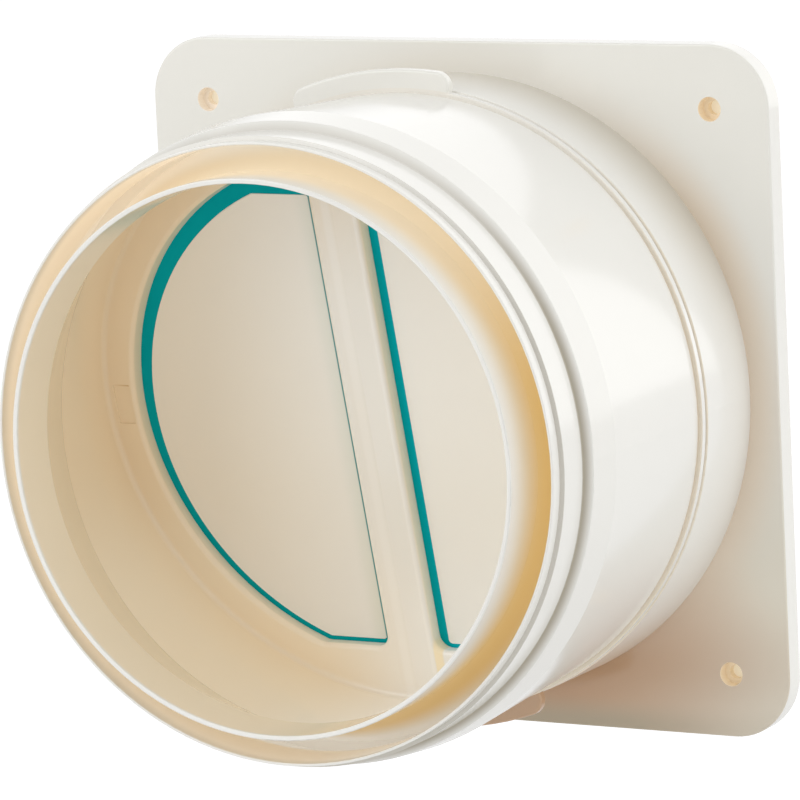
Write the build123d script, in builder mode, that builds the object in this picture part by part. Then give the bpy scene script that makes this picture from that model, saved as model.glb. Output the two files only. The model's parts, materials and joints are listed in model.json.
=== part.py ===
"""Duct non-return valve: a wall plate with a round inlet, and two sealed leaves behind a tilted seat.

The origin is the middle of the plate's back, on the wall. +Y goes into the wall, the inlet faces -Y,
+X is right and +Z is up. Heights are distances in front of the wall. Lengths are in millimetres.
"""
import os
from math import cos, radians, sin, tan

from build123d import *

os.makedirs("parts", exist_ok=True)

# Wall plate
plate_side = 200.0
plate_depth = 6.7
plate_corner = 18.0
plate_skin = 2.4
plate_rim = 2.4
plate_edge_round = 0.6
screw_spacing = 163.2
screw_hole_d = 4.2
counterbore_d = 7.0
counterbore_depth = 3.6
boss_wall = 3.0
rib_thickness = 1.6

# Base ring on the plate
ring_r = 90.6
ring_draft = 0.4
ring_wall = 1.5
ring_height = 34.4
ring_edge_round = 0.45
ledge_thickness = 2.0

# Joint between base ring, sleeve and core
seam = 0.3
spigot_clearance = 0.15
spigot_length = 10.6
bead_height = 0.35
bead_half_width = 0.9
bead_from_seam = 6.0
core_clearance = 0.15
end_clearance = 0.1

# Front sleeve
sleeve_wall = 1.4
flange_thickness = 2.6
flange_inset = 0.3
flange_edge_round = 0.4
tab_reach = 5.4
tab_span = 32.3
tab_turn = 6.7
tab_corner = 4.4
tab_edge_round = 0.8
body_inset = 1.53
body_flare = 2.5
body_rear_length = 56.9
body_front_length = 11.5
shoulder_drop = 1.1
shoulder_slope = 1.7
collar_step = 2.4
collar_length = 11.2
lip_step = 1.1
lip_slope = 0.4
lip_length = 3.9
lip_wall = 0.85
edge_round = 0.35
step_round = 0.6

# Inner nozzle of the sleeve
trough_width = 8.1
nozzle_wall = 1.4
nozzle_projection = 7.4
nozzle_length = 16.1
cone_angle = 22.0
web_thickness = 1.7

# Valve core and its tilted seat
core_wall = 1.5
seat_height = 60.25
seat_tilt = 13.93
seat_thickness = 5.0
seat_land = 6.84
opening_shift = 2.6
opening_cut = 6.66
opening_corner = 4.0
bar_half = 7.4
opening_lip_round = 1.3
seat_root_round = 1.5
ridge_half = 5.0
ridge_height = 0.45
mark_width = 5.2
mark_length = 12.0
mark_depth = 0.4
mark_inset = 2.8
mark_rise = 2.0

# Leaves and gaskets
seal_show = 3.36
panel_shift = 2.43
panel_cut = 6.55
panel_side_gap = 2.7
panel_corner = 1.2
leaf_drop = 1.95
seal_overlap = 2.8
seal_corner = 2.5
gasket_thickness = 1.6
gasket_clearance = 0.1
seal_seat_gap = 0.1
leaf_thickness = 2.0
leaf_margin = 0.4
leaf_rib_height = 4.0
leaf_rib_start = 26.0
leaf_rib_spacing = 44.0

# Hinge, lugs and stop
opening_angle = 80.0
hinge_depth = 5.2
pin_d = 3.0
pin_clearance = 0.05
pin_seat_depth = 4.8
pin_chamfer = 0.3
knuckle_r = 3.5
knuckle_length = 12.0
knuckle_gap = 0.3
end_play = 2.2
lug_length = 6.0
lug_half = 4.5
middle_lug_length = 8.0
stop_half = 2.0
stop_near = 17.0
stop_far = 23.0
stop_gap = 0.3
pad_length = 8.0
pad_width = 6.0
pad_spacing = 60.0

# Radii that follow from the sizes above
ring_bore_r = ring_r - ring_wall
spigot_r = ring_bore_r - spigot_clearance
spigot_bore_r = spigot_r - sleeve_wall
core_r = spigot_bore_r - core_clearance
core_bore_r = core_r - core_wall
flange_r = ring_r - flange_inset
tab_r = flange_r + tab_reach
body_rear_r = ring_r - body_inset
body_wide_r = body_rear_r + body_flare
shoulder_r = body_wide_r - shoulder_drop
collar_r = shoulder_r - collar_step
lip_r = collar_r - lip_step
lip_bore_r = lip_r - lip_wall
nozzle_r = lip_bore_r - trough_width
nozzle_bore_r = nozzle_r - nozzle_wall

# Heights that follow from the sizes above
flange_back = ring_height + seam
flange_front = flange_back + flange_thickness
wide_height = flange_front + body_rear_length
shoulder_height = wide_height + body_front_length
collar_start = shoulder_height + shoulder_slope
collar_end = collar_start + collar_length
lip_start = collar_end + lip_slope
rim_height = lip_start + lip_length
nozzle_front = rim_height + nozzle_projection
nozzle_back = nozzle_front - nozzle_length
cone_slope = tan(radians(cone_angle))
web_back = nozzle_back - (core_bore_r - nozzle_bore_r) / cone_slope
web_front = web_back + web_thickness
spigot_back = flange_back - spigot_length
bead_height_at = flange_back - bead_from_seam
core_front = web_back - end_clearance
core_back = spigot_back
ledge_height = core_back - end_clearance

# Sizes in the plane of the seat
opening_r = core_bore_r - seat_land
opening_flat = opening_r - opening_cut
panel_r = opening_r - seal_show
panel_flat = panel_r - panel_cut
panel_side = bar_half + panel_side_gap
seal_r = opening_r + seal_overlap
seal_flat = opening_flat + leaf_drop + seal_overlap / 2
seal_side = bar_half - seal_overlap
leaf_r = seal_r + leaf_margin
leaf_flat = seal_flat + leaf_margin
leaf_side = seal_side - leaf_margin
lug_start = leaf_flat + end_play
pin_r = pin_d / 2

# Depths behind the seat's contact face, and the leaf's thickness where it meets the stop
leaf_front = gasket_thickness
leaf_back = leaf_front + leaf_thickness
stop_face = stop_near * cos(radians(opening_angle)) - stop_half * sin(radians(opening_angle))
pad_back = hinge_depth + stop_face - stop_gap
pad_at = stop_near * sin(radians(opening_angle)) + stop_half * cos(radians(opening_angle))

# Planes: the seat's contact face, and the plane across the hinge pin, whose Y goes away from the inlet
tilt = radians(seat_tilt)
toward_inlet = Vector(0, -cos(tilt), -sin(tilt))
up_seat = Vector(0, -sin(tilt), cos(tilt))
seat_plane = Plane(origin=(0, -seat_height, 0), x_dir=(1, 0, 0), z_dir=toward_inlet)
hinge_plane = Plane(origin=seat_plane.origin - toward_inlet * hinge_depth, x_dir=(1, 0, 0), z_dir=up_seat)


def leaf_outline(side, radius, shift, flat, straight, drop, corner, mode=Mode.ADD):
    """A D shape on one side of the bar: an arc, two flats and the straight edge beside the bar."""
    with BuildSketch(mode=Mode.PRIVATE) as outline:
        with Locations((-side * shift, -drop)):
            Circle(radius)
        with Locations((side * (straight + radius), -drop)):
            Rectangle(2 * radius, 2 * flat, mode=Mode.INTERSECT)
        fillet(outline.vertices(), corner)
    add(outline.sketch, mode=mode)


def corner_at(sketch, radius, height):
    """The corner of a turned profile that lies at this radius and height."""
    return sketch.vertices().sort_by_distance((radius, -height, 0))[0]


def on_seat_root(point):
    """Whether a point lies where the front of the seat meets the tube's bore."""
    off_front = (point - seat_plane.origin).dot(toward_inlet) - seat_thickness
    off_bore = Vector(point.X, 0, point.Z).length - core_bore_r
    return abs(off_front) < 0.01 and abs(off_bore) < 0.01


def turned_profile(points):
    """A closed profile for turning about the duct's axis, from (radius, height) corners."""
    Polygon([(radius, -height) for radius, height in points], align=None)


# Wall plate: a shallow pan with screw bosses and ribs, and the base ring that takes the sleeve
with BuildPart() as wall_plate:
    with BuildSketch(Plane.XZ):
        RectangleRounded(plate_side, plate_side, plate_corner)
    extrude(amount=plate_depth)
    fillet(wall_plate.faces().sort_by(Axis.Y)[0].edges(), plate_edge_round)
    with BuildSketch(Plane.XZ):
        pan_side = plate_side - 2 * plate_rim
        RectangleRounded(pan_side, pan_side, plate_corner - plate_rim)
    extrude(amount=plate_depth - plate_skin, mode=Mode.SUBTRACT)
    with BuildSketch(Plane.XZ):
        with GridLocations(screw_spacing, screw_spacing, 2, 2):
            Circle(counterbore_d / 2 + boss_wall)
        for rib_angle in (0, 45, 90, 135):
            with Locations(Rotation(0, 0, rib_angle)):
                Rectangle(screw_spacing if rib_angle % 90 else plate_side - plate_rim, rib_thickness)
    extrude(amount=plate_depth - plate_skin / 2)
    with BuildSketch(Plane.XZ.offset(plate_depth)):
        with GridLocations(screw_spacing, screw_spacing, 2, 2):
            Circle(counterbore_d / 2)
    extrude(amount=-counterbore_depth, mode=Mode.SUBTRACT)
    with BuildSketch(Plane.XZ):
        with GridLocations(screw_spacing, screw_spacing, 2, 2):
            Circle(screw_hole_d / 2)
    extrude(amount=plate_depth, mode=Mode.SUBTRACT)
    with BuildSketch(Plane.XZ):
        Circle(ring_r)
    extrude(amount=plate_depth, mode=Mode.SUBTRACT)
    with BuildSketch(Plane.XY) as ring_profile:
        turned_profile([
            (ring_bore_r, 0),
            (ring_r + ring_draft, 0),
            (ring_r + ring_draft, plate_depth),
            (ring_r, ring_height),
            (ring_bore_r, ring_height),
            (ring_bore_r, bead_height_at + bead_half_width),
            (ring_bore_r + bead_height, bead_height_at),
            (ring_bore_r, bead_height_at - bead_half_width),
            (ring_bore_r, ledge_height),
            (core_bore_r, ledge_height),
            (core_bore_r, ledge_height - ledge_thickness),
            (ring_bore_r, ledge_height - ledge_thickness),
        ])
        fillet(corner_at(ring_profile, ring_r, ring_height), ring_edge_round)
    revolve(axis=Axis.Y)

# Front sleeve: spigot, flange with thumb tabs, body, hose collar, trough, cone and nozzle in one moulding
with BuildPart() as front_sleeve:
    cone_wall = nozzle_wall / cos(radians(cone_angle))
    cone_start = nozzle_back + (cone_wall - nozzle_wall) / cone_slope
    cone_foot_r = core_bore_r - web_thickness * cone_slope + cone_wall
    with BuildSketch(Plane.XY) as sleeve_profile:
        turned_profile([
            (spigot_bore_r, spigot_back),
            (spigot_r, spigot_back),
            (spigot_r, bead_height_at - bead_half_width),
            (spigot_r + bead_height, bead_height_at),
            (spigot_r, bead_height_at + bead_half_width),
            (spigot_r, flange_back),
            (flange_r, flange_back),
            (flange_r, flange_front),
            (body_rear_r, flange_front),
            (body_wide_r, wide_height),
            (shoulder_r, shoulder_height),
            (collar_r, collar_start),
            (collar_r, collar_end),
            (lip_r, lip_start),
            (lip_r, rim_height),
            (lip_bore_r, rim_height),
            (lip_bore_r, collar_start),
            (shoulder_r - sleeve_wall, shoulder_height - sleeve_wall),
            (body_wide_r - sleeve_wall, web_front),
            (cone_foot_r, web_front),
            (nozzle_r, cone_start),
            (nozzle_r, nozzle_front),
            (nozzle_bore_r, nozzle_front),
            (nozzle_bore_r, nozzle_back),
            (core_bore_r, web_back),
            (body_wide_r - sleeve_wall, web_back),
            (spigot_bore_r, flange_front),
        ])
        fillet(corner_at(sleeve_profile, flange_r, flange_front), flange_edge_round)
        fillet(corner_at(sleeve_profile, flange_r, flange_back), flange_edge_round)
        fillet(corner_at(sleeve_profile, shoulder_r, shoulder_height), step_round)
        fillet(corner_at(sleeve_profile, collar_r, collar_start), step_round)
        for rim_r in (lip_r, lip_bore_r):
            fillet(corner_at(sleeve_profile, rim_r, rim_height), edge_round)
        for rim_r in (nozzle_r, nozzle_bore_r):
            fillet(corner_at(sleeve_profile, rim_r, nozzle_front), edge_round)
    revolve(axis=Axis.Y)
    for tab_angle in (90 + tab_turn, 270 + tab_turn):
        with BuildPart(mode=Mode.PRIVATE) as tab:
            with BuildSketch(Plane.XZ.offset(flange_back)) as tab_face:
                with BuildLine():
                    tab_edge = CenterArc((0, 0), tab_r, tab_angle - tab_span / 2, tab_span)
                    tab_root = CenterArc((0, 0), flange_r - flange_edge_round, tab_angle - tab_span / 2, tab_span)
                    Line(tab_edge @ 0, tab_root @ 0)
                    Line(tab_edge @ 1, tab_root @ 1)
                make_face()
                fillet([corner for corner in tab_face.vertices() if corner.center().length > flange_r], tab_corner)
            extrude(amount=flange_thickness)
            tab_front = Vector(0, -flange_front, 0)
            front_edges = tab.faces().sort_by(Axis.Y)[0].edges()
            fillet([edge for edge in front_edges if (edge @ 0.5 - tab_front).length > flange_r], tab_edge_round)
        add(tab.part)

# Valve core: the tilted seat with its openings and bar, the lugs and stop behind it, and the tube around it
with BuildPart() as valve_core:
    with BuildSketch(seat_plane):
        Rectangle(2 * core_r, 2 * core_r / cos(tilt) + 2 * seat_thickness)
    extrude(amount=seat_thickness)
    with BuildSketch(seat_plane):
        for side in (-1, 1):
            leaf_outline(side, opening_r, opening_shift, opening_flat, bar_half, 0, opening_corner)
    extrude(amount=seat_thickness / cos(tilt), dir=(0, -1, 0), mode=Mode.SUBTRACT)
    seat_front = valve_core.faces().sort_by(Axis(seat_plane.origin, toward_inlet))[-1]
    fillet([edge for wire in seat_front.inner_wires() for edge in wire.edges()], opening_lip_round)
    with BuildSketch(hinge_plane):
        ridge_foot = -hinge_depth - seat_thickness
        with BuildLine():
            Polyline((-ridge_half, ridge_foot), (0, ridge_foot - ridge_height), (ridge_half, ridge_foot), close=True)
        make_face()
    extrude(amount=core_bore_r - 2 * seat_root_round, both=True)
    with BuildSketch(seat_plane.offset(seat_thickness)):
        for side in (-1, 1):
            with Locations((side * (core_bore_r - mark_inset - mark_width / 2), mark_rise)):
                Rectangle(mark_width, mark_length)
    extrude(amount=-mark_depth, mode=Mode.SUBTRACT)
    for lug_from in (lug_start, -lug_start - lug_length):
        with BuildSketch(hinge_plane.offset(lug_from)) as lug:
            with Locations((0, (stop_far - hinge_depth) / 2)):
                Rectangle(2 * lug_half, stop_far + hinge_depth)
            fillet(lug.vertices().group_by(Axis.Y)[-1], stop_half)
        extrude(amount=lug_length)
    with BuildSketch(hinge_plane.offset(-middle_lug_length / 2)):
        Circle(knuckle_r)
        with Locations((0, -hinge_depth / 2)):
            Rectangle(2 * knuckle_r, hinge_depth)
    extrude(amount=middle_lug_length)
    with BuildSketch(hinge_plane.offset(-lug_start)):
        with Locations((0, (stop_near + stop_far) / 2)):
            Rectangle(2 * stop_half, stop_far - stop_near)
    extrude(amount=2 * lug_start)
    with BuildSketch(Plane.XZ):
        Circle(core_bore_r + core_wall / 2)
    extrude(amount=core_front, mode=Mode.INTERSECT)
    with BuildSketch(Plane.XY):
        turned_profile([
            (core_bore_r, core_back),
            (core_r, core_back),
            (core_r, core_front),
            (core_bore_r, core_front),
        ])
    revolve(axis=Axis.Y)
    fillet([edge for edge in valve_core.edges() if on_seat_root(edge @ 0) and on_seat_root(edge @ 0.5)],
           seat_root_round)
    with BuildSketch(hinge_plane.offset(-lug_start - pin_seat_depth)):
        Circle(pin_r)
    extrude(amount=2 * core_r, mode=Mode.SUBTRACT)

# Hinge pin: a plain steel pin pressed into the lugs
with BuildPart() as hinge_pin:
    with BuildSketch(hinge_plane.offset(-lug_start - pin_seat_depth)):
        Circle(pin_r)
    extrude(amount=2 * lug_start + pin_seat_depth + lug_length)
    chamfer(hinge_pin.edges().filter_by(GeomType.CIRCLE), pin_chamfer)


def build_leaf(side, knuckle_starts):
    """One leaf: back plate, raised panel inside the gasket, hinge knuckles, ribs and stop pads."""
    with BuildPart() as leaf:
        with BuildSketch(seat_plane.offset(-leaf_back)):
            leaf_outline(side, leaf_r, panel_shift, leaf_flat, leaf_side, leaf_drop, seal_corner)
        extrude(amount=leaf_thickness)
        with BuildSketch(seat_plane.offset(-leaf_front)):
            leaf_outline(side, panel_r, panel_shift, panel_flat, panel_side, leaf_drop, panel_corner)
        extrude(amount=gasket_thickness)
        with BuildSketch(seat_plane.offset(-leaf_back - leaf_rib_height)):
            with Locations((side * (leaf_rib_start + leaf_r), -leaf_drop)):
                with GridLocations(0, leaf_rib_spacing, 1, 3):
                    Rectangle(2 * leaf_r, rib_thickness)
            leaf_outline(
                side, seal_r, panel_shift, seal_flat, seal_side, leaf_drop, seal_corner, Mode.INTERSECT
            )
        extrude(amount=leaf_rib_height)
        with BuildSketch(seat_plane.offset(-pad_back)):
            with Locations((side * pad_at, -leaf_drop)):
                with GridLocations(0, pad_spacing, 1, 2):
                    Rectangle(pad_width, pad_length)
        extrude(amount=pad_back - leaf_front)
        for knuckle_start in knuckle_starts:
            with BuildSketch(hinge_plane.offset(knuckle_start)):
                Circle(knuckle_r)
                web_length = panel_side
                with Locations((side * web_length / 2, (leaf_back + leaf_front) / 2 - hinge_depth)):
                    Rectangle(web_length, leaf_thickness)
            extrude(amount=knuckle_length)
        with BuildSketch(hinge_plane.offset(-lug_start)):
            Circle(pin_r + pin_clearance)
        extrude(amount=2 * lug_start, mode=Mode.SUBTRACT)
    return leaf


def build_gasket(side):
    """One gasket: a flat soft ring around the leaf's raised panel."""
    with BuildPart() as gasket:
        with BuildSketch(seat_plane.offset(-gasket_thickness)):
            leaf_outline(side, seal_r, panel_shift, seal_flat, seal_side, leaf_drop, seal_corner)
            leaf_outline(
                side,
                panel_r + gasket_clearance,
                panel_shift,
                panel_flat + gasket_clearance,
                panel_side - gasket_clearance,
                leaf_drop,
                panel_corner,
                Mode.SUBTRACT,
            )
        extrude(amount=gasket_thickness - seal_seat_gap)
    return gasket


# Knuckles: the leaves rest at the low end of their play, with their knuckles side by side on the pin
low_knuckle = -lug_start + knuckle_gap
next_knuckle = low_knuckle + knuckle_length + knuckle_gap
high_knuckle = leaf_flat - leaf_drop - knuckle_length
under_knuckle = high_knuckle - knuckle_length - knuckle_gap
left_flap = build_leaf(-1, (next_knuckle, high_knuckle))
right_flap = build_leaf(1, (low_knuckle, under_knuckle))
left_gasket = build_gasket(-1)
right_gasket = build_gasket(1)

pieces = {
    "wall_plate": wall_plate,
    "front_sleeve": front_sleeve,
    "valve_core": valve_core,
    "hinge_pin": hinge_pin,
    "left_flap": left_flap,
    "right_flap": right_flap,
    "left_gasket": left_gasket,
    "right_gasket": right_gasket,
}
for name, piece in pieces.items():
    piece.part.label = name
    export_step(piece.part, f"parts/{name}.step")
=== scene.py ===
"""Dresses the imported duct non-return valve: glossy ivory plastic, teal seals and soft studio light."""
import json
from itertools import product
from math import cos, pi, radians, sin, tan

import bpy
from mathutils import Matrix, Vector


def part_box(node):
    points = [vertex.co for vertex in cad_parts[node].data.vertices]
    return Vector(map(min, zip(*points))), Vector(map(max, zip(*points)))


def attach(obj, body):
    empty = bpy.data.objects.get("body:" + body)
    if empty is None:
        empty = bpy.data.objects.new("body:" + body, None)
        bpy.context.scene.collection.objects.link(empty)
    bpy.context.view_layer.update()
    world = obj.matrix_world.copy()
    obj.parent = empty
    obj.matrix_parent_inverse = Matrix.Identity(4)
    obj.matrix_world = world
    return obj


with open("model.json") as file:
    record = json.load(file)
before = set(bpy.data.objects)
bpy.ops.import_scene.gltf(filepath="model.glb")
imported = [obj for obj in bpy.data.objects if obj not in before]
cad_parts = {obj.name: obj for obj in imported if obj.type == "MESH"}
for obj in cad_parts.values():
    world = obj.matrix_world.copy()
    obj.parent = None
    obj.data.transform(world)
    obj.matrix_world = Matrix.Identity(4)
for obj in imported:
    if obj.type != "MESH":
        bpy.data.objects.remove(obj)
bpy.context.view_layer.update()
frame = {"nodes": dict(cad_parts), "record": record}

# Sizes that the frame gives, in metres: a height counts from the wall towards the inlet
millimetre = 0.001
mounts = {mount["name"]: mount["dims"] for mount in frame["record"]["mounts"]}
screw_offset = mounts["wall_screws"]["spacing_x_mm"] * millimetre / 2
screw_r = mounts["wall_screws"]["hole_r_mm"] * millimetre
collar_r = mounts["hose_collar"]["r_mm"] * millimetre
ring_height = -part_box("wall_plate")[0].y
core_front = -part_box("valve_core")[0].y
nozzle_front = -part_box("front_sleeve")[0].y

# Camera, as the photograph was taken: degrees and metres, with the lens and its sensor in millimetres
camera_azimuth = 28.72
camera_elevation = 10.13
camera_roll = -2.80
camera_target = Vector((0.01264, -0.07019, 0.00688))
camera_distance = 1.65
camera_reach = 50.0
camera_lens = 265.1
camera_sensor = 36.0

# Walls of the plate and its base ring, in metres
plate_front = 0.0067
plate_round = 0.0006
face_margin = 0.0002
ring_foot_r = 0.0910

# Screw holes and their skins, in metres, and the number of sides of a skin's outline
counterbore_r = 0.0035
hole_margin = 0.000035
skin_height = 0.0004
skin_thickness = 0.0004
skin_sides = 32

# Walls of the sleeve, in metres and degrees
flange_depth = 0.0029
flange_r = 0.0904
flange_edge = 0.0005
collar_length = 0.0155
shoulder_slope = 0.0016
lip_length = 0.0041
lip_step = 0.0011
lip_wall = 0.00085
lip_edge = 0.0006
body_middle_r = 0.0906
body_depth = 0.0039
trough_width = 0.0081
nozzle_wall = 0.0014
nozzle_projection = 0.0074
nozzle_length = 0.0161
cone_angle = 22.0
web_gap = 0.0002

# Places on the sleeve that follow from its walls
flange_front = ring_height + flange_depth
rim_height = nozzle_front - nozzle_projection
collar_start = rim_height - collar_length
lip_start = rim_height - lip_length
lip_r = collar_r - lip_step
collar_bore_r = lip_r - lip_wall
nozzle_middle_r = collar_bore_r - trough_width - nozzle_wall / 2
nozzle_back = nozzle_front - nozzle_length
cone_slope = tan(radians(cone_angle))
hollow_back = core_front + web_gap

# Painted shade on the plate and its ring: a pair says where the painted shade starts to change and where it
# has changed, in metres
foot_reach = 0.014
low_foot_reach = 0.055
low_foot = (-0.045, -0.085)
foot_fade = (0.045, 0.090)
foot_left = 0.15
low_face = (0.020, -0.070)
bottom_band = (-0.090, -0.099)
band_fade = (0.040, 0.090)
band_left = 0.25
high_ring = (0.0, 0.060)
low_ring_left = 0.1
low_ring = (-0.060, -0.085)
low_ring_share = 0.9
seam_width = 0.0008
ring_seam = (ring_height - seam_width, ring_height - seam_width / 4)
seam_fade = (0.040, 0.085)
seam_left = 0.2

# Painted shade on the sleeve's steps and in its bore, and painted light in its trough
shoulder_reach = 0.0027
lip_share = 0.5
step_fade = (0.030, 0.085)
step_left = 0.3
collar_wall = (nozzle_middle_r + trough_width / 3, collar_bore_r - trough_width / 9)
collar_reach = 0.0050
nozzle_reach = 0.0190
top_reach = 0.0100
bore_reach = 0.0015
trough_top = (0.010, 0.070)
corner_rise = (0.030, 0.070)
corner_left = (-0.010, -0.050)
corner_share = 0.45
collar_glow_rise = (-0.080, -0.020)

# Painted light and shade on the core, the leaves and the seals: a line has a middle, a solid half, a full
# half and a share
core_outward = (0.030, 0.086)
core_leftward = (0.040, -0.050)
core_rightward = (-0.030, 0.030)
core_low = (-0.010, -0.055)
seat_low = (-0.020, -0.070)
bar_highlight = (-0.0022, 0.00067, 0.0020, 0.45)
edge_highlight = (0.0064, 0.00027, 0.0008, 0.60)
bar_wall_shade = (0.0088, 0.0010, 0.0018, 0.90)
mark_shadow_line = (0.0066, 0.0001, 0.0004, 0.80)
mark_edge = -0.0840
mark_side = -0.0778
mark_back = 0.0655
mark_front = 0.0680
core_light_turn = (-0.040, 0.030)
core_glow_fall = (-0.020, -0.080)
leaf_leftward = (0.0, -0.060)
leaf_bar_shadow = (-0.0165, -0.0100)
leaf_pale_share = 0.6
panel_edge = 0.0101
edge_width = 0.0003
teal_reflection_band = (-panel_edge - edge_width, -panel_edge - edge_width / 2)
seal_light_rightward = (0.0, 0.020)

# Colours of the plate, with painted shade and painted light in the screw holes
open_ivory = (0.872, 0.860, 0.815)
plate_ivory = (0.858, 0.843, 0.785)
low_shade_ivory = (0.800, 0.745, 0.625)
foot_shade_ivory = (0.820, 0.700, 0.560)
shade_ivory = (0.540, 0.350, 0.215)
bottom_shade_ivory = (0.460, 0.390, 0.280)
ring_shade_ivory = (0.690, 0.650, 0.565)
seam_shade_ivory = (0.830, 0.740, 0.600)
hole_lit_ivory = (0.940, 0.870, 0.780)
right_hole_shade_ivory = (0.900, 0.780, 0.600)
skin_ivory = (0.920, 0.890, 0.800)

# Colours of the sleeve, with painted shade on the steps, the tabs and in the bore, and painted light in the
# trough
step_shade_ivory = (0.440, 0.395, 0.310)
tab_shade_ivory = (0.845, 0.830, 0.775)
bore_shade_ivory = (0.905, 0.782, 0.590)
lit_collar_ivory = (0.900, 0.875, 0.820)
lit_nozzle_ivory = (0.875, 0.640, 0.280)
lit_top_ivory = (0.905, 0.800, 0.620)

# Colours of the core, the leaves, the seals and the pin, with painted shade, painted light, painted
# highlights and a painted reflection
seat_shade_ivory = (0.905, 0.800, 0.625)
side_shade_ivory = (0.880, 0.722, 0.505)
lit_pale_ivory = (0.875, 0.880, 0.870)
highlight_ivory = (0.930, 0.915, 0.875)
mark_shadow_ivory = (0.640, 0.430, 0.190)
wall_shade_ivory = (0.930, 0.800, 0.520)
leaf_ivory = (0.872, 0.855, 0.800)
leaf_shade_ivory = (0.848, 0.793, 0.688)
bar_shadow_ivory = (0.770, 0.785, 0.715)
teal_reflection = (0.050, 0.300, 0.310)
teal = (0.0, 0.420, 0.480)
lit_right_teal = (0.0, 0.500, 0.610)
steel_grey = (0.58, 0.58, 0.57)

# Painted glow: emission that stands in for light coming through the thin walls
hollow_light = (1.0, 0.74, 0.48)
hollow_glow = 0.04
low_glow = 0.10
collar_light = (1.0, 0.95, 0.88)
collar_glow = 0.17
low_collar_glow = 0.12
nozzle_light = (1.0, 0.64, 0.22)
nozzle_glow = 0.07
top_light = (1.0, 0.80, 0.55)
top_glow = 0.10
hole_light = (1.0, 0.76, 0.45)
hole_glow = 0.08
leaf_light = (1.0, 0.93, 0.82)
leaf_glow = 0.07
skin_light = (1.0, 0.91, 0.68)
skin_glow = 0.20

# Surfaces: roughness from and to, grain as its scale and strength, and how much darker the flow marks are
plastic_gloss = (0.12, 0.18)
plastic_grain = (900.0, 0.04)
plastic_flow = 0.02
leaf_gloss = (0.26, 0.34)
skin_flow = 0.05
seal_gloss = (0.5, 0.6)
seal_grain = (1500.0, 0.08)
seal_flow = 0.10
steel_gloss = (0.24, 0.40)
steel_grain = (2200.0, 0.1)
steel_flow = 0.25
flow_scale = 14.0
flow_range = (0.3, 0.7)
gloss_scale = 60.0
grain_depth = 0.0002
plastic_ior = 1.53
seal_specular = 0.03

# Light from all round: each pair is where the light changes, along a direction of length one
white = (1.0, 1.0, 1.0)
background_white = 1.0
front_fill = 0.69
back_fill = 1.18
fill_turn = (-1.0, 0.2)
side_gain = 0.53
top_drop = 0.44
mirror_back = 1.5
mirror_turn = (-0.1, 0.3)
mirror_side = 0.30
mirror_drop = 0.32
drop_left = (-0.30, -0.47)
drop_down = (0.28, 0.10)

# Key lamp and floor, in metres and watts
key_place = Vector((-1.1, -1.5, 0.85))
key_aim = Vector((0.0, -0.06, 0.0))
key_size = 1.6
key_watts = 16.0
floor_height = -0.42
floor_size = 12.0
floor_grey = (0.82, 0.82, 0.82)
floor_roughness = 0.9
floor_seen = 0.4
floor_mirrored = 0.2

scene = bpy.context.scene
scene.view_settings.view_transform = "Standard"


class Graph:
    """Short helpers for building one node graph."""

    def __init__(self, tree):
        self.tree = tree

    def node(self, kind, **settings):
        made = self.tree.nodes.new(kind)
        for key, value in settings.items():
            setattr(made, key, value)
        return made

    def link(self, source, target):
        """Feeds a socket from another socket, or sets it to a number or a colour."""
        if isinstance(source, bpy.types.NodeSocket):
            self.tree.links.new(source, target)
        elif isinstance(source, tuple):
            target.default_value = (*source, 1.0)
        else:
            target.default_value = source

    def math(self, operation, first, second=0.0):
        made = self.node("ShaderNodeMath", operation=operation)
        self.link(first, made.inputs[0])
        self.link(second, made.inputs[1])
        return made.outputs[0]

    def times(self, first, *others):
        """The product of all the factors."""
        for other in others:
            first = self.math("MULTIPLY", first, other)
        return first

    def rest(self, share):
        """What a share leaves of one."""
        return self.math("SUBTRACT", 1.0, share)

    def below(self, value, limit):
        """1 where the value is under the limit, else 0."""
        return self.math("LESS_THAN", value, limit)

    def above(self, value, limit):
        """1 where the value is over the limit, else 0."""
        return self.math("GREATER_THAN", value, limit)

    def distance(self, first, second):
        """The length of a sloping line from its two legs."""
        squares = self.math("ADD", self.math("POWER", first, 2.0), self.math("POWER", second, 2.0))
        return self.math("SQRT", squares)

    def spread(self, factor, low, high, start=0.0, end=1.0, smooth=False):
        """A number that goes from low to high while the factor goes from start to end."""
        made = self.node("ShaderNodeMapRange", interpolation_type="SMOOTHSTEP" if smooth else "LINEAR")
        self.link(factor, made.inputs["Value"])
        for name, value in (("From Min", start), ("From Max", end), ("To Min", low), ("To Max", high)):
            made.inputs[name].default_value = value
        return made.outputs["Result"]

    def fade(self, value, low, high, start, end):
        """A number that goes smoothly from low to high while the value goes from start to end."""
        return self.spread(value, low, high, start, end, smooth=True)

    def ease(self, value, start, end):
        """0 before start and 1 after end, with a smooth way between."""
        return self.fade(value, 0.0, 1.0, start, end)

    def line(self, value, middle, solid, half, share=1.0):
        """The share on a line: all of it within solid of the middle, and none beyond half."""
        away = self.math("ABSOLUTE", self.math("SUBTRACT", value, middle))
        return self.fade(away, share, 0.0, solid, half)

    def between(self, share, first, second):
        """The first number where the share is 0, and the second where it is 1."""
        return self.math("ADD", self.times(self.rest(share), first), self.times(share, second))

    def blend(self, share, first, second):
        """The first colour where the share is 0, and the second where it is 1."""
        made = self.node("ShaderNodeMix", data_type="RGBA")
        self.link(share, made.inputs["Factor"])
        for source, name in ((first, "A"), (second, "B")):
            target = [socket for socket in made.inputs if socket.name == name and socket.type == "RGBA"][0]
            self.link(source, target)
        return [socket for socket in made.outputs if socket.type == "RGBA"][0]


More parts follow.
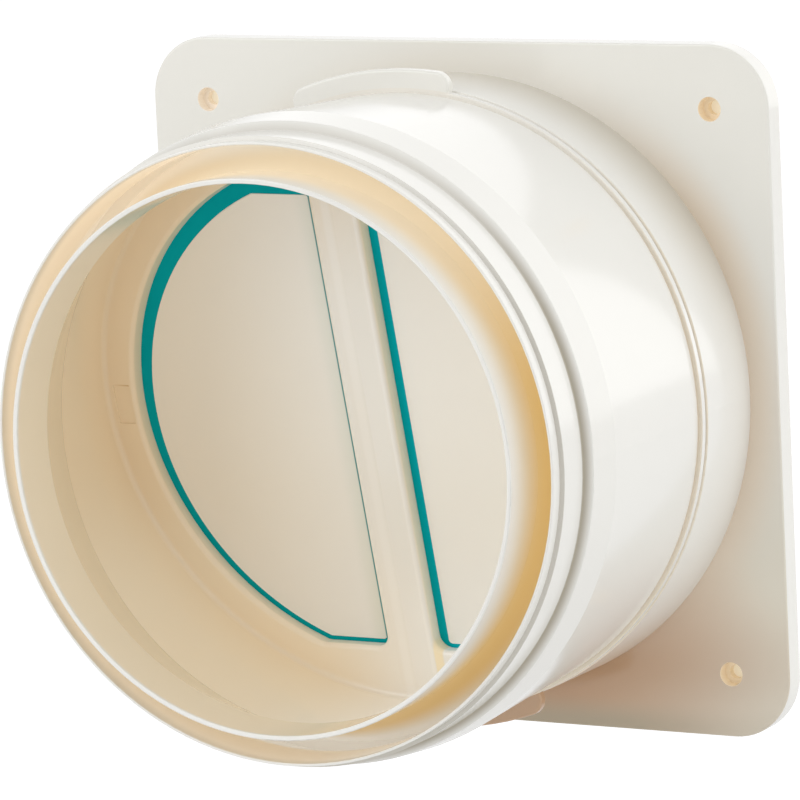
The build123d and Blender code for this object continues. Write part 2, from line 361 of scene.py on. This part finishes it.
class Finish(Graph):
    """One material, with helpers that follow the part's own coordinates."""

    def __init__(self, name):
        self.material = bpy.data.materials.new(name)
        self.material.use_nodes = True
        self.material.cycles.emission_sampling = "NONE"
        super().__init__(self.material.node_tree)
        self.bsdf = self.tree.nodes["Principled BSDF"]
        self.place = self.node("ShaderNodeTexCoord").outputs["Object"]
        axes = self.node("ShaderNodeSeparateXYZ")
        self.link(self.place, axes.inputs[0])
        self.across, depth, self.up = axes.outputs
        self.radius = self.distance(self.across, self.up)
        self.height = self.times(depth, -1.0)

    def noise(self, scale, detail=2.0):
        made = self.node("ShaderNodeTexNoise")
        made.inputs["Scale"].default_value = scale
        made.inputs["Detail"].default_value = detail
        self.link(self.place, made.inputs["Vector"])
        return made.outputs["Fac"]

    def mottle(self, colour, share):
        """The colour with soft, barely darker flow marks."""
        dark = tuple(part * (1.0 - share) for part in colour)
        return self.blend(self.spread(self.noise(flow_scale), 0.0, 1.0, *flow_range), dark, colour)

    def skin(self, gloss, grain_scale, grain_strength):
        """Uneven gloss and a fine grain."""
        self.link(self.spread(self.noise(gloss_scale), *gloss), self.bsdf.inputs["Roughness"])
        bump = self.node("ShaderNodeBump")
        bump.inputs["Strength"].default_value = grain_strength
        bump.inputs["Distance"].default_value = grain_depth
        self.link(self.noise(grain_scale, detail=1.0), bump.inputs["Height"])
        self.link(bump.outputs["Normal"], self.bsdf.inputs["Normal"])

    def colour(self, source):
        self.link(source, self.bsdf.inputs["Base Color"])

    def paint_glow(self, light, strength):
        """Painted glow: emission, which on the plastics stands in for light coming through a thin wall."""
        self.link(light, self.bsdf.inputs["Emission Color"])
        self.link(strength, self.bsdf.inputs["Emission Strength"])


def plastic(name, gloss=plastic_gloss):
    """Moulded plastic, before it gets its colour."""
    finish = Finish(name)
    finish.skin(gloss, *plastic_grain)
    finish.bsdf.inputs["IOR"].default_value = plastic_ior
    return finish


def plate_face(finish):
    """The plate's front: painted warm shade downwards and round the ring's foot, the tube's painted shadow
    below it, and painted shade along its lower edge.
    """
    from_foot = finish.distance(
        finish.math("SUBTRACT", finish.radius, ring_foot_r),
        finish.math("SUBTRACT", finish.height, plate_front),
    )
    low = finish.ease(finish.up, *low_foot)
    reach = finish.spread(low, foot_reach, low_foot_reach)
    by_foot = finish.rest(finish.ease(finish.math("DIVIDE", from_foot, reach), 0.0, 1.0))
    foot = finish.times(by_foot, finish.fade(finish.up, 1.0, foot_left, *foot_fade))
    # painted shade along the plate's lower edge, weaker to the right
    band = finish.times(
        finish.ease(finish.up, *bottom_band),
        finish.fade(finish.across, 1.0, band_left, *band_fade),
    )
    colour = finish.mottle(plate_ivory, plastic_flow)
    # painted shade: the plate's front turns warmer and darker downwards
    colour = finish.blend(finish.ease(finish.up, *low_face), colour, low_shade_ivory)
    # painted shade round the ring's foot, and the tube's painted shadow below it
    colour = finish.blend(foot, colour, finish.blend(low, foot_shade_ivory, shade_ivory))
    return finish.blend(band, colour, bottom_shade_ivory)


def ring_wall(finish):
    """The base ring: painted shade towards its foot, along the seam and at the bottom."""
    shaded = finish.times(
        finish.ease(finish.height, ring_height, plate_front),
        finish.fade(finish.up, low_ring_left, 1.0, *high_ring),
    )
    seam = finish.times(
        finish.ease(finish.height, *ring_seam),
        finish.fade(finish.up, 1.0, seam_left, *seam_fade),
    )
    # painted shade towards the ring's foot, strongest on the upper side
    colour = finish.blend(shaded, open_ivory, ring_shade_ivory)
    # painted shade along the seam, fading towards the top
    colour = finish.blend(seam, colour, seam_shade_ivory)
    # painted warm shade on the ring's lower side
    return finish.blend(finish.fade(finish.up, 0.0, low_ring_share, *low_ring), colour, foot_shade_ivory)


def plate_plastic():
    """Ivory plastic of the plate and its ring, with painted light in the screw holes and painted shade in the
    holes on the right.
    """
    finish = plastic("plate_ivory")
    on_ring = finish.above(finish.height, plate_front + face_margin)
    on_side = finish.below(finish.height, plate_front - plate_round / 2)
    from_screw = finish.distance(
        finish.math("SUBTRACT", finish.math("ABSOLUTE", finish.across), screw_offset),
        finish.math("SUBTRACT", finish.math("ABSOLUTE", finish.up), screw_offset),
    )
    hole = finish.below(from_screw, counterbore_r + hole_margin)
    rightward = finish.ease(finish.across, -screw_offset, screw_offset)
    colour = finish.blend(on_ring, plate_face(finish), ring_wall(finish))
    colour = finish.blend(on_side, colour, open_ivory)
    # painted light in the screw holes, with painted shade in the holes on the right
    finish.colour(finish.blend(hole, colour, finish.blend(rightward, hole_lit_ivory, right_hole_shade_ivory)))
    finish.paint_glow(hole_light, finish.times(hole, hole_glow))
    return finish.material


def sleeve_outside(finish, outside):
    """The sleeve's outer wall: painted shade along the seam and under the shoulder and the lip, fading
    towards the top, and painted shade on the thumb tabs.
    """
    on_steps = finish.times(outside, finish.below(finish.radius, flange_r))

    def edge(middle, half):
        return finish.times(on_steps, finish.line(finish.height, middle, half / 2, half))

    seam = edge(flange_front, flange_edge)
    shoulder = finish.times(
        edge(collar_start - shoulder_slope / 2, shoulder_slope),
        finish.ease(finish.radius, collar_r + shoulder_reach, collar_r),
    )
    shaded = finish.math("MAXIMUM", shoulder, finish.times(edge(lip_start, lip_edge), lip_share))
    off_top = finish.fade(finish.up, 1.0, step_left, *step_fade)
    tab = finish.times(
        finish.above(finish.radius, flange_r),
        finish.below(finish.height, flange_front + flange_edge),
    )
    # painted shade on the thumb tabs: a little on the upper tab, deep on the lower one
    tab_shade_colour = finish.blend(finish.below(finish.up, 0.0), tab_shade_ivory, shade_ivory)
    colour = finish.mottle(open_ivory, plastic_flow)
    # painted shade under the shoulder and the lip
    colour = finish.blend(finish.times(shaded, off_top), colour, step_shade_ivory)
    # painted shade along the seam, fading towards the top
    colour = finish.blend(finish.times(seam, off_top), colour, seam_shade_ivory)
    return finish.blend(tab, colour, tab_shade_colour)


def sleeve_plastic():
    """Ivory plastic: painted warm shade in the bore, and painted cream to orange light in the trough, with a
    painted glow that stands in for light coming through the walls.
    """
    finish = plastic("sleeve_ivory")
    below_cone = finish.math("MAXIMUM", finish.math("SUBTRACT", nozzle_back, finish.height), 0.0)
    nozzle_r = finish.math("ADD", finish.times(below_cone, cone_slope), nozzle_middle_r)
    outer_r = finish.spread(
        finish.height, (collar_bore_r + lip_r) / 2, body_middle_r, collar_start, collar_start - body_depth,
    )
    inside = finish.times(finish.below(finish.radius, outer_r), finish.above(finish.height, hollow_back))
    off_bore = finish.above(finish.radius, nozzle_r)
    in_trough = finish.times(off_bore, inside)
    on_collar = finish.ease(finish.radius, *collar_wall)
    topward = finish.ease(finish.up, *trough_top)
    reach = finish.spread(topward, nozzle_reach, top_reach)
    from_front = finish.math("DIVIDE", finish.math("SUBTRACT", nozzle_front, finish.height), reach)
    in_bore = finish.times(finish.rest(off_bore), inside)
    bore = finish.times(in_bore, finish.ease(finish.height, nozzle_front, nozzle_front - bore_reach))
    in_collar = finish.times(in_trough, on_collar)
    collar = finish.times(in_collar, finish.ease(finish.height, rim_height, rim_height - collar_reach))
    nozzle = finish.times(in_trough, finish.rest(on_collar), finish.ease(from_front, 0.0, 1.0))
    corner = finish.times(
        finish.ease(finish.up, *corner_rise),
        finish.fade(finish.across, 0.0, corner_share, *corner_left),
    )
    colour = sleeve_outside(finish, finish.rest(inside))
    # painted warm shade in the bore, from just inside the nozzle's front
    colour = finish.blend(bore, colour, bore_shade_ivory)
    # painted light in the trough: cream on the collar's wall, warmer in the upper left corner
    colour = finish.blend(collar, colour, finish.blend(corner, lit_collar_ivory, lit_top_ivory))
    # painted orange light on the nozzle's outer wall, changing towards the top
    finish.colour(finish.blend(nozzle, colour, finish.blend(topward, lit_nozzle_ivory, lit_top_ivory)))
    # painted glow in the trough, stronger higher up on the collar
    collar_glow_colour = finish.blend(corner, collar_light, top_light)
    nozzle_glow_colour = finish.blend(topward, nozzle_light, top_light)
    strength = finish.math(
        "ADD",
        finish.times(collar, finish.fade(finish.up, low_collar_glow, collar_glow, *collar_glow_rise)),
        finish.times(nozzle, finish.spread(topward, nozzle_glow, top_glow)),
    )
    finish.paint_glow(finish.blend(nozzle, collar_glow_colour, nozzle_glow_colour), strength)
    return finish.material


def core_plastic():
    """Ivory plastic with painted warm shade from the seat's middle out to the tube's wall on the left,
    painted light low on the right, painted highlights on the bar, a painted shadow line at the mark, painted
    warm shade on the bar's right wall and a painted glow.
    """
    finish = plastic("core_ivory")
    outward = finish.ease(finish.radius, *core_outward)
    left_shade = finish.times(outward, finish.ease(finish.across, *core_leftward))
    left_shade_colour = finish.blend(finish.ease(finish.up, *core_low), side_shade_ivory, seat_shade_ivory)
    lit_pale = finish.times(finish.ease(finish.up, *seat_low), finish.ease(finish.across, *core_rightward))
    on_mark = finish.times(
        finish.below(finish.across, mark_side),
        finish.ease(finish.across, mark_edge, mark_side),
        finish.above(finish.height, mark_back),
        finish.below(finish.height, mark_front),
    )
    # painted warm shade out to the tube's wall on the left
    colour = finish.blend(left_shade, finish.mottle(leaf_ivory, plastic_flow), left_shade_colour)
    # painted light low on the right
    colour = finish.blend(lit_pale, colour, lit_pale_ivory)
    # painted highlights: a streak on the bar's ridge and a line on its right lip
    for highlight in (bar_highlight, edge_highlight):
        colour = finish.blend(finish.line(finish.across, *highlight), colour, highlight_ivory)
    # painted shadow line along the top edge of the small recess
    colour = finish.blend(finish.times(on_mark, finish.line(finish.up, *mark_shadow_line)), colour, mark_shadow_ivory)
    # painted warm shade on the wall of the right opening beside the bar
    finish.colour(finish.blend(finish.line(finish.across, *bar_wall_shade), colour, wall_shade_ivory))
    # painted glow, warm on the left and paler on the right, stronger low down
    glow_colour = finish.blend(finish.ease(finish.across, *core_light_turn), hollow_light, leaf_light)
    finish.paint_glow(glow_colour, finish.fade(finish.up, hollow_glow, low_glow, *core_glow_fall))
    return finish.material


def leaf_plastic():
    """Satin ivory plastic of the leaves, with painted shade towards the left, painted light low down, the
    bar's painted shadow and a painted teal reflection of the seal beside the bar on the left one, and a
    painted glow.
    """
    finish = plastic("leaf_ivory", leaf_gloss)
    on_left = finish.below(finish.across, 0.0)
    colour = finish.mottle(leaf_ivory, plastic_flow)
    # painted warm shade towards the left
    colour = finish.blend(finish.ease(finish.across, *leaf_leftward), colour, leaf_shade_ivory)
    # painted light low down on the leaves
    colour = finish.blend(finish.fade(finish.up, 0.0, leaf_pale_share, *seat_low), colour, lit_pale_ivory)
    # the bar's painted shadow on the left leaf
    bar_shadow = finish.times(on_left, finish.ease(finish.across, *leaf_bar_shadow))
    colour = finish.blend(bar_shadow, colour, bar_shadow_ivory)
    # painted reflection of the teal seal on the left leaf's edge beside the bar
    reflected_teal = finish.times(on_left, finish.ease(finish.across, *teal_reflection_band))
    finish.colour(finish.blend(reflected_teal, colour, teal_reflection))
    # painted glow over the whole leaf
    finish.paint_glow(leaf_light, leaf_glow)
    return finish.material


def soft_silicone():
    """Smooth teal silicone with a soft sheen, painted lighter on the right leaf, where more light falls."""
    finish = Finish("teal_silicone")
    rightward = finish.ease(finish.across, *seal_light_rightward)
    # painted light on the right seal
    finish.colour(finish.blend(rightward, finish.mottle(teal, seal_flow), lit_right_teal))
    finish.skin(seal_gloss, *seal_grain)
    finish.bsdf.inputs["Specular IOR Level"].default_value = seal_specular
    return finish.material


def drawn_steel():
    """A plain drawn steel pin."""
    finish = Finish("steel")
    finish.colour(finish.mottle(steel_grey, steel_flow))
    finish.skin(steel_gloss, *steel_grain)
    finish.bsdf.inputs["Metallic"].default_value = 1.0
    return finish.material


def skin_plastic():
    """The thin skin at the end of each screw hole, with a painted yellow glow that stands in for light coming
    through it.
    """
    finish = plastic("skin_ivory")
    finish.colour(finish.mottle(skin_ivory, skin_flow))
    finish.paint_glow(skin_light, skin_glow)
    return finish.material


def screw_skins(material):
    """A thin disc across the back of each screw hole, which the screw pierces."""
    mesh = bpy.data.meshes.new("screw_skins")
    points = []
    faces = []
    for across, up in product((-screw_offset, screw_offset), repeat=2):
        back = [len(points) + side for side in range(skin_sides)]
        front = [point + skin_sides for point in back]
        for height in (skin_height, skin_height + skin_thickness):
            for side in range(skin_sides):
                turn = 2 * pi * side / skin_sides
                points.append((across + screw_r * cos(turn), -height, up + screw_r * sin(turn)))
        faces.append(back[::-1])
        faces.append(front)
        for side in range(skin_sides):
            after = (side + 1) % skin_sides
            faces.append([back[side], back[after], front[after], front[side]])
    mesh.from_pydata(points, [], faces)
    mesh.materials.append(material)
    skins = bpy.data.objects.new("screw_skins", mesh)
    scene.collection.objects.link(skins)
    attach(skins, "housing")


def dress():
    """Gives every CAD piece its finish."""
    leaf = leaf_plastic()
    seal = soft_silicone()
    finishes = {
        "wall_plate": plate_plastic(),
        "front_sleeve": sleeve_plastic(),
        "valve_core": core_plastic(),
        "left_flap": leaf,
        "right_flap": leaf,
        "left_gasket": seal,
        "right_gasket": seal,
        "hinge_pin": drawn_steel(),
    }
    for name, finish in finishes.items():
        mesh = frame["nodes"][name].data
        mesh.materials.clear()
        mesh.materials.append(finish)


def place_camera():
    """The camera looks at the target from the photograph's side, turned a little about its own axis."""
    azimuth, elevation, roll = radians(camera_azimuth), radians(camera_elevation), radians(camera_roll)
    back = Vector((sin(azimuth) * cos(elevation), -cos(azimuth) * cos(elevation), sin(elevation)))
    level_right = Vector((cos(azimuth), sin(azimuth), 0.0))
    level_up = back.cross(level_right)
    right = level_right * cos(roll) + level_up * sin(roll)
    up = back.cross(right)
    camera = bpy.data.objects.new("camera", bpy.data.cameras.new("camera"))
    camera.data.lens = camera_lens
    camera.data.sensor_width = camera_sensor
    camera.data.clip_end = camera_reach
    turn = Matrix((right, up, back)).transposed().to_4x4()
    camera.matrix_world = Matrix.Translation(camera_target + back * camera_distance) @ turn
    scene.collection.objects.link(camera)
    scene.camera = camera


def key_light():
    """A square soft box on the left in front, which faces the part."""
    lamp = bpy.data.lights.new("key", "AREA")
    lamp.shape = "SQUARE"
    lamp.size = key_size
    lamp.energy = key_watts
    box = bpy.data.objects.new("key", lamp)
    box.location = key_place
    box.rotation_euler = (key_aim - key_place).to_track_quat("-Z", "Y").to_euler()
    scene.collection.objects.link(box)


def white_world():
    """A white background, a fill that is stronger from behind, and a brighter wall behind for reflections."""
    world = bpy.data.worlds.new("studio")
    world.use_nodes = True
    graph = Graph(world.node_tree)
    axes = graph.node("ShaderNodeSeparateXYZ")
    graph.link(graph.node("ShaderNodeTexCoord").outputs["Generated"], axes.inputs[0])
    rightward, behind, upward = axes.outputs
    path = graph.node("ShaderNodeLightPath").outputs
    from_above = graph.times(graph.math("MAXIMUM", upward, 0.0), top_drop)
    slant = graph.math("SUBTRACT", graph.times(rightward, side_gain), from_above)
    fill = graph.times(graph.fade(behind, front_fill, back_fill, *fill_turn), graph.math("ADD", slant, 1.0))
    from_right = graph.times(graph.math("MAXIMUM", rightward, 0.0), mirror_side)
    low_left = graph.times(graph.ease(rightward, *drop_left), graph.ease(upward, *drop_down))
    mirrored = graph.times(
        graph.fade(behind, front_fill, mirror_back, *mirror_turn),
        graph.math("ADD", 1.0, from_right),
        graph.spread(low_left, 1.0, 1.0 - mirror_drop),
    )
    light = graph.between(path["Is Glossy Ray"], fill, mirrored)
    seen = graph.math("MAXIMUM", path["Is Camera Ray"], path["Is Transmission Ray"])
    background = world.node_tree.nodes["Background"].inputs
    graph.link(white, background["Color"])
    graph.link(graph.between(seen, light, background_white), background["Strength"])
    scene.world = world


def pale_floor():
    """A plain pale floor below the part, which keeps the part's shadow."""
    half = floor_size / 2
    corners = ((-half, -half), (half, -half), (half, half), (-half, half))
    mesh = bpy.data.meshes.new("floor")
    mesh.from_pydata([(x, y, floor_height) for x, y in corners], [], [(0, 1, 2, 3)])
    floor = bpy.data.objects.new("floor", mesh)
    scene.collection.objects.link(floor)
    finish = Finish("floor")
    finish.colour(floor_grey)
    finish.bsdf.inputs["Roughness"].default_value = floor_roughness
    path = finish.node("ShaderNodeLightPath").outputs
    seen = finish.times(path["Is Camera Ray"], floor_seen)
    mirrored = finish.times(path["Is Glossy Ray"], floor_mirrored)
    finish.paint_glow(white, finish.math("ADD", seen, mirrored))
    mesh.materials.append(finish.material)


dress()
screw_skins(skin_plastic())
place_camera()
white_world()
pale_floor()
key_light()
